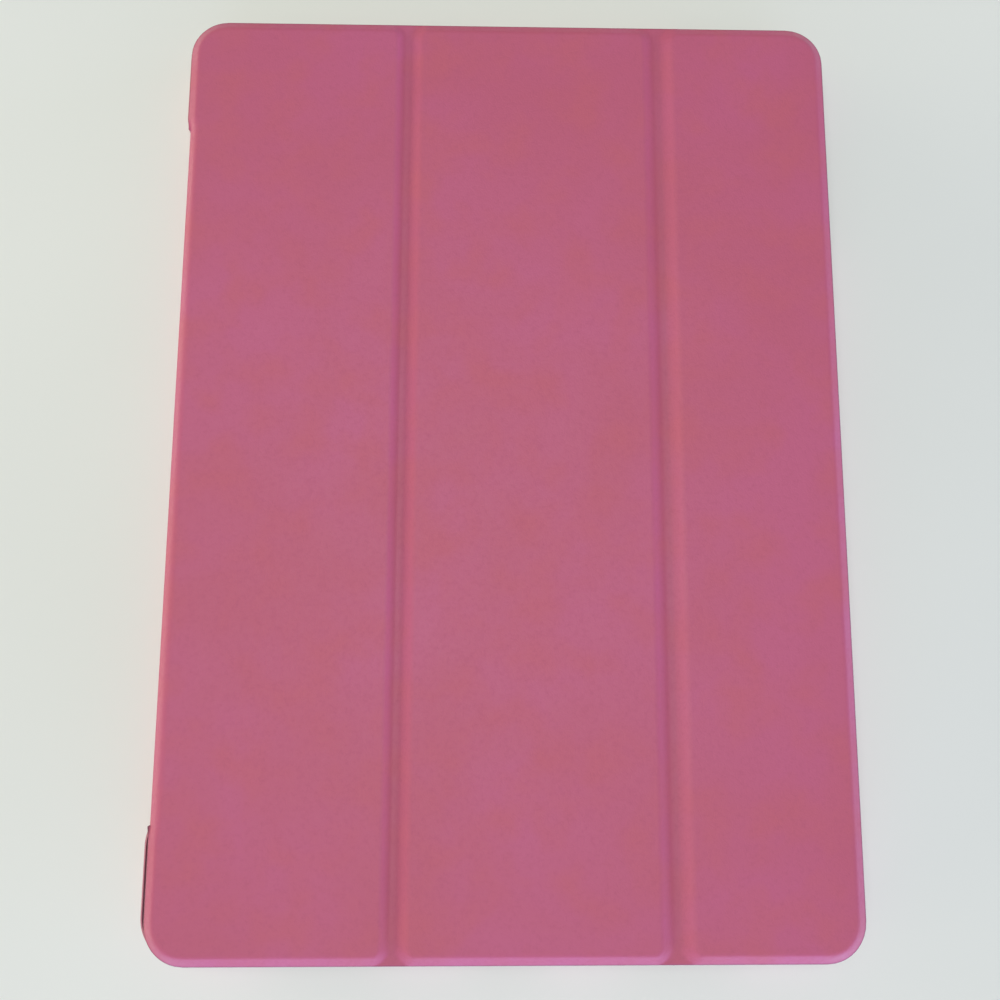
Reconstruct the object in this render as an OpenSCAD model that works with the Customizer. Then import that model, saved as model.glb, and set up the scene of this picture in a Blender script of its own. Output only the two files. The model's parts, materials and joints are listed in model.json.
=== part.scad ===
// Folding book case for a slim tablet: a hard back shell with corner grips,
// and a three-panel cover that is joined to the shell by a soft spine.
// +X runs from the spine to the free edge, +Y to the top edge, +Z through the cover.
// The origin is on the resting face, below the centre of the closed case.

/* [Tablet] */
// Width of the tablet that the case holds
tablet_w = 169.5; // [160:0.5:185]
// Length of the tablet
tablet_l = 240; // [228:0.5:256]
// Thickness of the tablet
tablet_t = 7.5; // [6:0.1:9]
// Total side play of the tablet across the pocket
play_x = 2.3; // [0.6:0.1:3]
// Total side play of the tablet along the pocket
play_y = 1.6; // [0.6:0.1:3]

/* [Shell] */
// Thickness of the shell's upright walls
wall_t = 1.1; // [0.9:0.1:1.5]
// Thickness of the shell's back plate
back_t = 1.8; // [1.6:0.1:2.4]
// Outer corner radius of the shell, seen from the front
shell_r = 10.5; // [8:0.5:14]
// Radius of the edge between the shell's back and its walls
edge_r = 3; // [2:0.5:4]
// Height of the inward lip that holds the tablet's rim
lip_t = 0.9; // [0.6:0.1:1.4]
// Reach of that lip over the tablet
lip_w = 0.8; // [0.4:0.1:1.2]
// How much thinner the corner grips' rims are beside the spine
thin_w = 0.7; // [0:0.1:0.7]
// How far down from the rim they are thinner
thin_h = 3; // [1:0.5:4]
// Length of each corner grip beside the spine, from the shell's end
grip_l = 31.4; // [24:0.2:40]
// Height above the resting face where the openings for ports and keys begin
notch_z = 4; // [3:0.5:6]
// Radius of the camera hole
camera_r = 6; // [4:0.5:8]

/* [Cover] */
// Width of the cover from its spine edge to its free edge
flap_w = 173.6; // [165:0.1:188]
// Length of the cover
flap_l = 244; // [232:0.5:260]
// Corner radius of the cover
flap_r = 10; // [8:0.5:14]
// How far the cover's middle lies from the shell's middle, towards the free edge
flap_shift = 0.74; // [0.4:0.02:1.6]
// Small turn of the closed cover on its soft spine, in degrees
cover_turn = 0.18; // [0:0.02:0.4]
// Air gap between the closed cover and the shell
cover_gap = 0.3; // [0.2:0.1:1]
// Thickness of the outer skin over a board
skin_t = 0.8; // [0.6:0.1:1]
// Thickness of the stiffening boards
board_t = 1; // [0.8:0.1:1.4]
// Thickness of the inner lining
lining_t = 0.4; // [0.3:0.1:0.5]
// Thickness of the pressed rim, where skin and lining meet with no board
rim_t = 1; // [0.9:0.1:1.2]
// Width of that rim
rim_w = 2.5; // [2:0.1:4]
// Width of the spine panel, to the middle of the first crease
panel_1_w = 59.8; // [54:0.1:64]
// Width of the free panel, from the middle of the second crease
panel_3_w = 45.8; // [40:0.1:50]
// Width of the first crease between the boards
crease_1_w = 8; // [7.6:0.1:10]
// Width of the second crease between the boards
crease_2_w = 9.4; // [7.6:0.1:10]

/* [Spine] */
// How far the spine stands out past the cover's edge
spine_out = 0.2; // [0:0.1:1.5]
// Outer radius of the bend from the spine to the cover
bend_r = 4; // [3:0.5:5]
// Thickness of the spine's stiffening strip
stiffener_t = 0.4; // [0.3:0.1:0.4]
// Width of the spine skin's strip that is glued under the shell
strip_w = 18; // [12:1:26]

/* [Inside the boards] */
// Length of one closing magnet
magnet_l = 20; // [10:1:24]
// Width of one closing magnet
magnet_w = 5; // [3:0.5:6]
// Radius of the wake magnet
wake_r = 4; // [3:0.5:5]
// Width of the steel strip that holds the folded stand
plate_w = 12; // [8:1:16]
// Length of that strip
plate_l = 150; // [100:5:170]

/* [Hidden] */
$fn = 64;
// a hair, for cuts that only have to pass a face
fine = 0.1;
// how far other cuts run past the face that they open
over = 1;
far = 400;

// heights
play_z = 0.1;
shell_h = back_t + tablet_t + play_z + lip_t;
flap_z = shell_h + cover_gap;
top_z = flap_z + lining_t + board_t + skin_t;
rim_z = flap_z + rim_t;
axis_z = flap_z + rim_t / 2;

// places across the case
pocket_w = tablet_w + play_x;
pocket_l = tablet_l + play_y;
shell_w = pocket_w + 2 * wall_t;
shell_l = pocket_l + 2 * wall_t;
flap_reach = (flap_w / 2 - flap_r) * cos(cover_turn) + (flap_l / 2 - flap_r) * sin(cover_turn) + flap_r;
shell_x0 = -(shell_w / 2 + flap_shift + flap_reach) / 2;
shell_x1 = shell_x0 + shell_w;
pocket_x0 = shell_x0 + wall_t;
pocket_x1 = shell_x1 - wall_t;
flap_x = shell_x0 + shell_w / 2 + flap_shift;
flap_x0 = flap_x - flap_w / 2;
flap_x1 = flap_x + flap_w / 2;
crease_1_x = flap_x0 + panel_1_w;
crease_2_x = flap_x1 - panel_3_w;

// the spine, between the two corner grips
mouth_l = shell_l - 2 * grip_l;
spine_play = 0.3;
spine_l = mouth_l - 2 * spine_play;
bend_x = flap_x0 - spine_out + bend_r;
bend_z = top_z - bend_r;
spine_x0 = bend_x - bend_r;
spine_skin_t = 0.9;
spine_t = spine_skin_t + lining_t;
shell_edge_x = spine_x0 + spine_t + spine_play;

// each bend of the skin is parted half way round, with this angle left open at each side
bend_part = 2;
lower_mid = 225;
upper_mid = 135;

// the glued strip under the shell
strip_skin_t = 0.6;
strip_lining_t = 0.25;
tape_t = 0.12;
recess_z = 1;
strip_x1 = spine_x0 + spine_t + strip_w;

// the webs of skin and lining in the creases, and how far from its line each one parts
web_r = rim_t / 2;
web_gap = 1.8;

// boards stop short of the skin's own edges
board_play = 0.05;

// a rectangle with round corners, given by its left and right edges
module round_rect(x0, x1, l, r) {
    translate([x0 + r, -l / 2]) square([x1 - x0 - 2 * r, l]);
    translate([x0, r - l / 2]) square([x1 - x0, l - 2 * r]);
    for (x = [x0 + r, x1 - r], y = [r - l / 2, l / 2 - r])
        translate([x, y]) circle(r);
}

// the cover's outline, or the same outline drawn inwards
module flap_outline(inset = 0) {
    round_rect(flap_x0 + inset, flap_x1 - inset, flap_l - 2 * inset, flap_r - inset);
}

// the part of the cover's outline between two places across it
module flap_part(x0, x1, inset = 0) {
    intersection() {
        flap_outline(inset);
        translate([x0, -far / 2]) square([x1 - x0, far]);
    }
}

// the cover's panels lie turned a little on the shell
module turned() {
    translate([flap_x, 0, 0]) rotate(cover_turn) translate([-flap_x, 0, 0]) children();
}

// one slice of the layered cover
module layer(z0, z1) {
    translate([0, 0, z0]) linear_extrude(z1 - z0) children();
}

// a length along Y with a cross-section drawn in X and Z
module along_y(l) {
    rotate([90, 0, 0]) linear_extrude(l, center = true) children();
}

// a sector of a flat ring
module ring_sector(r0, r1, a0, a1) {
    intersection() {
        difference() {
            circle(r1);
            circle(r0);
        }
        polygon([
            [0, 0],
            2 * r1 * [cos(a0), sin(a0)],
            2 * r1 * [cos((a0 + a1) / 2), sin((a0 + a1) / 2)],
            2 * r1 * [cos(a1), sin(a1)]
        ]);
    }
}

// the opening that the spine leaves between the corner grips
module mouth(x0, x1) {
    translate([x0, -mouth_l / 2]) square([x1 - x0, mouth_l]);
}

// a solid with round upright corners and a round lower edge
module tub(x0, x1, l, r, z0, z1, round_r) {
    hull() {
        for (x = [x0 + r, x1 - r], y = [r - l / 2, l / 2 - r])
            translate([x, y, 0]) {
                translate([0, 0, z0 + round_r]) cylinder(z1 - z0 - round_r, r, r, $fn = 48);
                translate([0, 0, z0 + round_r])
                    rotate_extrude($fn = 48)
                        translate([r - round_r, 0]) circle(round_r, $fn = 24);
            }
    }
}

// corner radius inside the lip
lip_r = shell_r - wall_t - lip_w;

// the openings for sockets, speakers and keys along the shell's walls
port_r = 2;
port_cut = 8;
jack_x = shell_x0 + 20;
jack_w = 14;
power_x = shell_x1 - 24;
power_w = 24;
volume_y = 82;
volume_w = 36;
plug_w = 18;
speaker_x = 45;
speaker_w = 30;
camera_x = shell_x1 - 14;
camera_y = shell_l / 2 - 14;

// a port opening: a slot with a round floor corner at each end, open at the top
module port(w) {
    rotate([90, 0, 0]) linear_extrude(port_cut, center = true) {
        translate([port_r - w / 2, notch_z]) square([w - 2 * port_r, shell_h]);
        translate([-w / 2, notch_z + port_r]) square([w, shell_h]);
        for (x = [port_r - w / 2, w / 2 - port_r])
            translate([x, notch_z + port_r]) circle(port_r);
    }
}

module ports() {
    translate([jack_x, shell_l / 2, 0]) port(jack_w);
    translate([power_x, shell_l / 2, 0]) port(power_w);
    translate([shell_x1, volume_y, 0]) rotate(90) port(volume_w);
    translate([0, -shell_l / 2, 0]) port(plug_w);
    for (side = [-1, 1])
        translate([side * speaker_x, -shell_l / 2, 0]) port(speaker_w);
}

// the round-over at the top of each corner grip's end, beside the spine
grip_end_r = 5;

module grip_ends() {
    for (side = [0, 1])
        mirror([0, side, 0])
            translate([shell_x0 - over, mouth_l / 2 - fine, shell_h - grip_end_r])
                difference() {
                    cube([wall_t + 2 * over, grip_end_r + fine, grip_end_r + over]);
                    translate([-over, grip_end_r + fine, 0])
                        rotate([0, 90, 0]) cylinder(wall_t + 4 * over, grip_end_r, grip_end_r);
                }
}

module back_shell() {
    color([0.84, 0.56, 0.62])
    difference() {
        tub(shell_x0, shell_x1, shell_l, shell_r, 0, shell_h, edge_r);
        tub(pocket_x0, pocket_x1, pocket_l, shell_r - wall_t, back_t, shell_h - lip_t, edge_r - wall_t);
        layer(shell_h - thin_h, shell_h + over)
            round_rect(pocket_x0 - thin_w, pocket_x1 - lip_w, pocket_l - 2 * lip_w, lip_r);
        layer(-over, shell_h + over) mouth(shell_x0 - over, shell_edge_x);
        layer(-over, recess_z) mouth(shell_x0 - over, strip_x1 + fine);
        grip_ends();
        ports();
        translate([camera_x, camera_y, -over]) cylinder(back_t + 2 * over, camera_r, camera_r);
    }
}

// the spine skin's strip under the shell, with its share of the lower bend
module strip_skin() {
    color([0.72, 0.38, 0.47])
    along_y(spine_l) {
        translate([spine_x0 + spine_t, 0]) square([strip_w, strip_skin_t]);
        translate([spine_x0 + spine_t, spine_t])
            ring_sector(spine_t - strip_skin_t, spine_t, lower_mid + bend_part, 270);
    }
}

module strip_lining() {
    color([0.55, 0.5, 0.52])
    translate([spine_x0 + spine_t, -spine_l / 2, strip_skin_t])
        cube([strip_w, spine_l, strip_lining_t]);
}

// the tape stays a little inside the strip's edges
tape_inset = 0.8;

module strip_tape() {
    color([0.9, 0.9, 0.86])
    translate([shell_edge_x + tape_inset, tape_inset - spine_l / 2, strip_skin_t + strip_lining_t])
        cube([strip_x1 - shell_edge_x - 2 * tape_inset, spine_l - 2 * tape_inset, tape_t]);
}

// the stiffener stops short of both bends
stiffener_inset = 0.3;
stiffener_x = spine_x0 + spine_skin_t - stiffener_t;

module spine_skin() {
    color([0.72, 0.38, 0.47])
    difference() {
        along_y(spine_l) {
            translate([spine_x0, spine_t]) square([spine_skin_t, bend_z - spine_t]);
            translate([spine_x0 + spine_t, spine_t])
                ring_sector(spine_t - spine_skin_t, spine_t, 180, lower_mid - bend_part);
            translate([bend_x, bend_z])
                ring_sector(bend_r - spine_skin_t, bend_r, upper_mid + bend_part, 180);
        }
        translate([stiffener_x, -far / 2, spine_t + stiffener_inset])
            cube([spine_skin_t, far, bend_z - spine_t - 2 * stiffener_inset]);
    }
}

module spine_stiffener() {
    color([0.62, 0.55, 0.45])
    translate([stiffener_x, over - spine_l / 2, spine_t + stiffener_inset + board_play])
        cube([stiffener_t, spine_l - 2 * over, bend_z - spine_t - 2 * (stiffener_inset + board_play)]);
}

module spine_lining() {
    color([0.55, 0.5, 0.52])
    along_y(spine_l) {
        translate([spine_x0 + spine_skin_t, spine_t]) square([lining_t, bend_z - spine_t]);
        translate([bend_x, bend_z])
            ring_sector(bend_r - spine_t, bend_r - spine_skin_t, upper_mid + bend_part, 180);
    }
}

// the skin of one panel: a pressed rim and a raised field over the board
module panel_skin(rim_x0, rim_x1, field_x0, field_x1) {
    difference() {
        union() {
            layer(flap_z + lining_t, rim_z) flap_part(rim_x0, rim_x1);
            layer(flap_z + lining_t, top_z) flap_part(field_x0, field_x1, rim_w);
        }
        layer(flap_z + lining_t - over, top_z - skin_t)
            flap_part(max(field_x0, bend_x) + skin_t, field_x1 - skin_t, rim_w + skin_t);
    }
}

module panel_board(field_x0, field_x1) {
    layer(flap_z + lining_t, top_z - skin_t - board_play)
        flap_part(
            max(field_x0, bend_x) + skin_t + board_play, field_x1 - skin_t - board_play,
            rim_w + skin_t + board_play
        );
}

module panel_lining(rim_x0, rim_x1) {
    layer(flap_z, flap_z + lining_t) flap_part(rim_x0, rim_x1);
}

// the widths of the raised fields, between the creases
field_1_x1 = crease_1_x - crease_1_w / 2;
field_2_x0 = crease_1_x + crease_1_w / 2;
field_2_x1 = crease_2_x - crease_2_w / 2;
field_3_x0 = crease_2_x + crease_2_w / 2;

// the spine panel leaves room for the bend between the corner grips
module panel_1_skin() {
    color([0.72, 0.38, 0.47]) {
        difference() {
            turned() panel_skin(flap_x0 - over, crease_1_x - web_gap, flap_x0, field_1_x1);
            layer(0, far) mouth(flap_x0 - 2 * over, bend_x);
        }
        along_y(spine_l)
            translate([bend_x, bend_z])
                ring_sector(bend_r - spine_skin_t, bend_r, 90, upper_mid - bend_part);
    }
}

// the steel strip lies in the spine panel's board, where the free edge comes to rest
plate_t = 0.4;
plate_inset = 3;
plate_x = bend_x + plate_inset;
plate_z = top_z - skin_t - board_play - plate_t;

module panel_1_board() {
    color([0.62, 0.55, 0.45])
    turned() difference() {
        panel_board(flap_x0, field_1_x1);
        layer(plate_z - board_play, far)
            translate([plate_x - board_play, -plate_l / 2 - board_play])
                square([plate_w + 2 * board_play, plate_l + 2 * board_play]);
    }
}

module panel_1_lining() {
    color([0.55, 0.5, 0.52])
    difference() {
        turned() panel_lining(flap_x0 - over, crease_1_x - web_gap);
        layer(0, far) mouth(flap_x0 - 2 * over, bend_x);
    }
}

module stand_plate() {
    color([0.7, 0.7, 0.72])
    turned() translate([plate_x, -plate_l / 2, plate_z]) cube([plate_w, plate_l, plate_t]);
}

// the web of a crease, from the panel beside the spine up to the line that it bends on
module crease_web(x, z0, z1) {
    intersection() {
        translate([x, 0, axis_z])
            along_y(flap_l) {
                circle(web_r);
                translate([-web_gap, -web_r]) square([web_gap, 2 * web_r]);
            }
        layer(z0, z1) translate([x - web_gap, -far / 2]) square([2 * web_gap, far]);
    }
}

module crease_1_skin() {
    color([0.69, 0.36, 0.45]) turned() crease_web(crease_1_x, flap_z + lining_t, rim_z);
}

module crease_1_lining() {
    color([0.55, 0.5, 0.52]) turned() crease_web(crease_1_x, flap_z, flap_z + lining_t);
}

module panel_2_skin() {
    color([0.72, 0.38, 0.47])
    turned() panel_skin(crease_1_x + web_gap, crease_2_x - web_gap, field_2_x0, field_2_x1);
}

module panel_2_board() {
    color([0.62, 0.55, 0.45]) turned() panel_board(field_2_x0, field_2_x1);
}

module panel_2_lining() {
    color([0.55, 0.5, 0.52]) turned() panel_lining(crease_1_x + web_gap, crease_2_x - web_gap);
}

module crease_2_skin() {
    color([0.69, 0.36, 0.45]) turned() crease_web(crease_2_x, flap_z + lining_t, rim_z);
}

module crease_2_lining() {
    color([0.55, 0.5, 0.52]) turned() crease_web(crease_2_x, flap_z, flap_z + lining_t);
}

module panel_3_skin() {
    color([0.72, 0.38, 0.47])
    turned() panel_skin(crease_2_x + web_gap, flap_x1 + over, field_3_x0, flap_x1);
}

// four closing magnets lie along the free edge, and the wake magnet beside them
magnet_t = 0.8;
magnet_inset = 2;
magnet_step = 50;
magnet_x = flap_x1 - rim_w - skin_t - magnet_inset - magnet_w;
magnet_z = flap_z + lining_t + board_play;
magnet_ys = [for (place = [-1.5 : 1 : 1.5]) place * magnet_step];
wake_x = magnet_x + magnet_w / 2;
wake_y = magnet_step;

module each_magnet(play) {
    for (y = magnet_ys)
        translate([magnet_x - play, y - magnet_l / 2 - play])
            square([magnet_w + 2 * play, magnet_l + 2 * play]);
}

module panel_3_board() {
    color([0.62, 0.55, 0.45])
    turned() difference() {
        panel_board(field_3_x0, flap_x1);
        layer(0, magnet_z + magnet_t + board_play) {
            each_magnet(board_play);
            translate([wake_x, wake_y]) circle(wake_r + board_play);
        }
    }
}

module panel_3_lining() {
    color([0.55, 0.5, 0.52]) turned() panel_lining(crease_2_x + web_gap, flap_x1 + over);
}

module closing_magnets() {
    color([0.75, 0.75, 0.77]) turned() layer(magnet_z, magnet_z + magnet_t) each_magnet(0);
}

module wake_magnet() {
    color([0.78, 0.78, 0.8])
    turned() translate([wake_x, wake_y, magnet_z]) cylinder(magnet_t, wake_r, wake_r);
}

back_shell();
strip_skin();
strip_lining();
strip_tape();
spine_skin();
spine_stiffener();
spine_lining();
panel_1_skin();
panel_1_board();
panel_1_lining();
stand_plate();
crease_1_skin();
crease_1_lining();
panel_2_skin();
panel_2_board();
panel_2_lining();
crease_2_skin();
crease_2_lining();
panel_3_skin();
panel_3_board();
panel_3_lining();
closing_magnets();
wake_magnet();
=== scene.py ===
import json
import math

import bmesh
import bpy
import numpy as np
from mathutils import Matrix, Vector


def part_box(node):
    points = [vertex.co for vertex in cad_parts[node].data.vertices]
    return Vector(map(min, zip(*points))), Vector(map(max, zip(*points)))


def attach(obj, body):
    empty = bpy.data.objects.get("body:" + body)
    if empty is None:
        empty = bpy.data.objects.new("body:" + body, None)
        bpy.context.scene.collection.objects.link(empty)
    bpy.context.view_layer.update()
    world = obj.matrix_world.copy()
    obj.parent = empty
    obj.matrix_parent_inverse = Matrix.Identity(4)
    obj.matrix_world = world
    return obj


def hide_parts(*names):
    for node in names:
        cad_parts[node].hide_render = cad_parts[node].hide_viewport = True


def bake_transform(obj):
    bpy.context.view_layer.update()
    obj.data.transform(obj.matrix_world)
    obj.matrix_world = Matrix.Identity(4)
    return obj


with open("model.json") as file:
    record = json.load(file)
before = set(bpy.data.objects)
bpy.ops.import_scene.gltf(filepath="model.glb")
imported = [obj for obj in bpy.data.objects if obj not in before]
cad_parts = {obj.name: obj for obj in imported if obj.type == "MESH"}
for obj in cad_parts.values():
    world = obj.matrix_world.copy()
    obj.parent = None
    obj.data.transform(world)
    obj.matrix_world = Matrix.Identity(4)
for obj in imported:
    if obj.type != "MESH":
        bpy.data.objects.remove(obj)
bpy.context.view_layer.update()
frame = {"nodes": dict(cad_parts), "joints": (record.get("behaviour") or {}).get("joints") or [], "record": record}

MM = 0.001

# ---------------------------------------------------------------------------
# Sizes, in millimetres, that the frame doesn't hold
# ---------------------------------------------------------------------------
FLAP_R = 10.0           # corner radius of the cover
RIM_W = 2.9             # width of the sloping edge outside the raised fields
SKIN_T = 0.8            # skin over a board
SPINE_SKIN_T = 0.9      # skin of the spine
LINING_T = 0.4
BEND_R = 4.0            # outer radius of the bend between spine and cover
LOWER_R = 1.3           # outer radius of the bend under the shell's edge
RIM_DROP = 1.12         # how far the top sinks towards the cover's outline
CREASE_DROP = 1.08      # and towards the middle of a crease
EDGE_ROUND = 0.35       # round-over of the cut edge
CREASE_CORNER_R = 1.5   # corner radius of a board beside a crease
BOARD_CORNER_R = FLAP_R - RIM_W
# from each crease's line to the raised fields, and to the bottom of its valley
CREASE_1 = {"left": -4.0, "right": 4.0, "low": -0.8}
CREASE_2 = {"left": -4.7, "right": 4.7, "low": -0.5}
SEAM_IN = 0.9           # where the spine's skin is joined to the cover's, past the bend
RIM_SOFT = 0.2          # share of the rim's slope that is its round start
RIM_FOOT = 0.12         # and its round end
CREASE_SOFT = 0.14      # how much larger those shares are beside a crease
CREASE_FOOT = 0.2
LINING_ROUND = 0.2      # round-over of the lining's cut edge
LINING_CUT = 0.8        # share of it that is used
LINING_PRESS = 0.14     # how far the lining is pressed into the creases and along the rim
MOUTH_FLAT = 4.0        # how far round the spine's opening the lining isn't pressed
MOUTH_FADE = 3.0        # how far past the spine's opening the bend fades out
BEND_FLAT = 6.0         # how far past the bend the skin's top runs flat
BEND_FLOOR = 0.45       # least thickness of the skin over the lining in the bend
TURN_FADE = 0.5         # width over which the cover's small turn starts at the bend
SHARP = math.radians(50)        # edges that turn more than this stay sharp
CUT_SHARP = math.radians(32)    # and on a piece with openings cut into it

joints = {j["name"]: j for j in frame["joints"]}


def joint_mm(name):
    return Vector(joints[name]["pos_m"]) / MM


def box_mm(node):
    low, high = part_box(node)
    return low / MM, high / MM


# ---------------------------------------------------------------------------
# Places, worked out from the frame
# ---------------------------------------------------------------------------
crease_axis = joints["crease_1_fold"]["axis"]
turn = math.atan2(crease_axis[0], -crease_axis[1])
turn_cos, turn_sin = math.cos(turn), math.sin(turn)

lining_left, lining_right = box_mm("panel_1_lining")[0], box_mm("panel_3_lining")[1]
flap_x = (lining_left.x + lining_right.x) / 2
reach_x = (lining_right.x - lining_left.x) / 2 - FLAP_R
reach_y = box_mm("panel_3_lining")[1].y - FLAP_R
half_w = (reach_x * turn_cos - reach_y * turn_sin) / (turn_cos ** 2 - turn_sin ** 2) + FLAP_R
half_l = (reach_y * turn_cos - reach_x * turn_sin) / (turn_cos ** 2 - turn_sin ** 2) + FLAP_R
top_z = box_mm("panel_2_skin")[1].z
base_z = box_mm("panel_2_lining")[0].z
skin_z = base_z + LINING_T

spine_low, spine_high = box_mm("spine_skin")
spine_x0 = spine_low.x
bend_x = spine_x0 + BEND_R
bend_z = top_z - BEND_R
mouth = spine_high.y
strip_high = box_mm("strip_skin")[1]
shell_low, shell_high = box_mm("back_shell")


def to_cover(x, y):
    """A place of the model, seen from the middle of the turned cover."""
    return ((x - flap_x) * turn_cos + y * turn_sin, -(x - flap_x) * turn_sin + y * turn_cos)


def from_cover(u, v, share=1.0):
    """The place in the model of a point of the cover.
    share is how much of the cover's small turn it takes."""
    x = flap_x + u * (1 - share) + share * (u * turn_cos - v * turn_sin)
    y = (v + mouth_shift) * (1 - share) + share * (u * turn_sin + v * turn_cos)
    return x, y


crease_1_u = to_cover(*joint_mm("crease_1_fold").xy)[0]
crease_2_u = to_cover(*joint_mm("crease_2_fold").xy)[0]
bend_u = bend_x - flap_x
spine_u = spine_x0 - flap_x
seam_u = bend_u + SEAM_IN
mouth_shift = bend_u * turn_sin
panel_2_seam_u = (crease_1_u + crease_2_u) / 2

# ---------------------------------------------------------------------------
# Small numpy helpers
# ---------------------------------------------------------------------------


def smooth(t):
    t = np.clip(t, 0, 1)
    return t * t * (3 - 2 * t)


def ramp(t, soft_start, soft_end):
    """From 0 to 1 along a straight slope with a round start and a round end."""
    t = np.clip(t, 0, 1)
    slope = 1 / (1 - (soft_start + soft_end) / 2)
    rise = np.where(t < soft_start, slope * t * t / (2 * soft_start), slope * (t - soft_start / 2))
    past = np.maximum(t - (1 - soft_end), 0)
    return rise - slope * past * past / (2 * soft_end)


def spread(low, high, step):
    """Evenly spaced places from low to high, no further apart than step."""
    count = max(1, math.ceil((high - low) / step))
    return [low + (high - low) * i / count for i in range(count + 1)]


def merge(*lists):
    """One sorted list of places, without doubles."""
    places = sorted(x for items in lists for x in items)
    kept = [places[0]]
    for x in places[1:]:
        if x - kept[-1] > 0.02:
            kept.append(x)
    return kept


# ---------------------------------------------------------------------------
# The shape of the closed cover
# ---------------------------------------------------------------------------
# each panel's raised field: x where it ends, r corner radius, w width of the slope beside it, and
# d how far that slope drops, on its left (0) and its right (1)
PANELS = [
    {"x0": -half_w + RIM_W, "x1": crease_1_u + CREASE_1["left"],
     "r0": BOARD_CORNER_R, "r1": CREASE_CORNER_R,
     "w0": RIM_W, "w1": CREASE_1["low"] - CREASE_1["left"], "d0": RIM_DROP, "d1": CREASE_DROP},
    {"x0": crease_1_u + CREASE_1["right"], "x1": crease_2_u + CREASE_2["left"],
     "r0": CREASE_CORNER_R, "r1": CREASE_CORNER_R,
     "w0": CREASE_1["right"] - CREASE_1["low"], "w1": CREASE_2["low"] - CREASE_2["left"],
     "d0": CREASE_DROP, "d1": CREASE_DROP},
    {"x0": crease_2_u + CREASE_2["right"], "x1": half_w - RIM_W,
     "r0": CREASE_CORNER_R, "r1": BOARD_CORNER_R,
     "w0": CREASE_2["right"] - CREASE_2["low"], "w1": RIM_W, "d0": CREASE_DROP, "d1": RIM_DROP},
]
field_y = half_l - RIM_W


def inset(u, v):
    """How far a point lies inside the cover's outline."""
    dx = np.abs(u) - (half_w - FLAP_R)
    dy = np.abs(v) - (half_l - FLAP_R)
    outside = np.hypot(np.maximum(dx, 0), np.maximum(dy, 0))
    return FLAP_R - outside - np.minimum(np.maximum(dx, dy), 0)


def drop_of(panel, u, v):
    """How far the skin has sunk below the top of a panel's board."""
    middle = (panel["x0"] + panel["x1"]) / 2
    near_0 = u < middle
    r = np.where(near_0, panel["r0"], panel["r1"])
    width_x = np.where(near_0, panel["w0"], panel["w1"])
    drop_x = np.where(near_0, panel["d0"], panel["d1"])
    dx = np.maximum(np.where(near_0, panel["x0"] + r - u, u - panel["x1"] + r), 0)
    dy = np.maximum(np.abs(v) - field_y + r, 0)
    away = np.hypot(dx, dy) - r
    share = dx / np.maximum(dx + dy, 1e-6)
    width = RIM_W + (width_x - RIM_W) * share
    drop = RIM_DROP + (drop_x - RIM_DROP) * share
    beside_crease = width_x > RIM_W + 0.05
    foot = np.where(beside_crease, RIM_FOOT + CREASE_FOOT * share, RIM_FOOT)
    return drop * ramp(away / width, RIM_SOFT + CREASE_SOFT * share, foot)


def sunk(u, v):
    """How far the skin lies below the raised fields."""
    return np.minimum.reduce([drop_of(p, u, v) for p in PANELS])


def round_over(u, v, r):
    """How far a cut edge is rounded over with a radius."""
    d = np.clip(inset(u, v), 0, r)
    return r - np.sqrt(np.maximum(r ** 2 - (r - d) ** 2, 0))


def cover_top(u, v):
    """Height of the closed cover's skin."""
    return top_z - sunk(u, v) - round_over(u, v, EDGE_ROUND)


def cover_base(u, v):
    """Height of the lining's lower face: pressed a little into the creases and along the rim."""
    in_mouth = (np.abs(v) < mouth + MOUTH_FLAT) & (u < bend_u + MOUTH_FLAT)
    pressed = LINING_PRESS * (sunk(u, v) / CREASE_DROP) * np.where(in_mouth, 0, 1)
    return base_z + pressed + round_over(u, v, LINING_ROUND) * LINING_CUT


# the grid's lines, in from the outline: dense where the surface turns, sparse where it is flat
EDGE_LINES = [0, 0.06, 0.16, 0.3, 0.5, 0.8, 1.15, 1.5, 1.85, 2.2, 2.5, 2.9, 3.4, 4.2, 5.5, 7.5, FLAP_R]


def crease_lines(centre, crease):
    low = centre + crease["low"]
    left, right = centre + crease["left"], centre + crease["right"]
    return merge(
        spread(left - 0.6, left + 1.4, 0.2), spread(left + 1.4, low - 0.5, 0.35),
        spread(low - 0.5, low + 0.5, 0.125), spread(low + 0.5, right - 1.5, 0.4),
        spread(right - 1.5, right + 0.6, 0.21), [left - 1.5, left - 3.5, right + 1.5, right + 3.5],
    )


def with_exact(places, *wanted):
    """The same places, with the nearest one moved onto each wanted place."""
    for x in wanted:
        places[min(range(len(places)), key=lambda i: abs(places[i] - x))] = x
    return places


# the columns that the spine's lining and skin end on, and the rows, have to be exact
all_columns = with_exact(merge(
    [-half_w + d for d in EDGE_LINES], [half_w - d for d in EDGE_LINES],
    [bend_u, seam_u, seam_u + 1.2],
    crease_lines(crease_1_u, CREASE_1), crease_lines(crease_2_u, CREASE_2),
    spread(-half_w + FLAP_R, crease_1_u - 7.5, 6.5), spread(crease_1_u + 7.5, crease_2_u - 8, 6.5),
    spread(crease_2_u + 8, half_w - FLAP_R, 6.5), [panel_2_seam_u],
), bend_u, seam_u)
mouth_low_v, mouth_high_v = -mouth - mouth_shift, mouth - mouth_shift
all_rows = with_exact(merge(
    [-half_l + d for d in EDGE_LINES], [half_l - d for d in EDGE_LINES],
    spread(mouth_high_v, mouth_high_v + 4, 0.5), spread(mouth_low_v - 4, mouth_low_v, 0.5),
    spread(mouth_low_v, mouth_high_v, 6), spread(mouth_high_v + 4, half_l - FLAP_R, 5),
    spread(-half_l + FLAP_R, mouth_low_v - 4, 5), [mouth_high_v - 1, mouth_low_v + 1],
), mouth_low_v, mouth_high_v)


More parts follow.
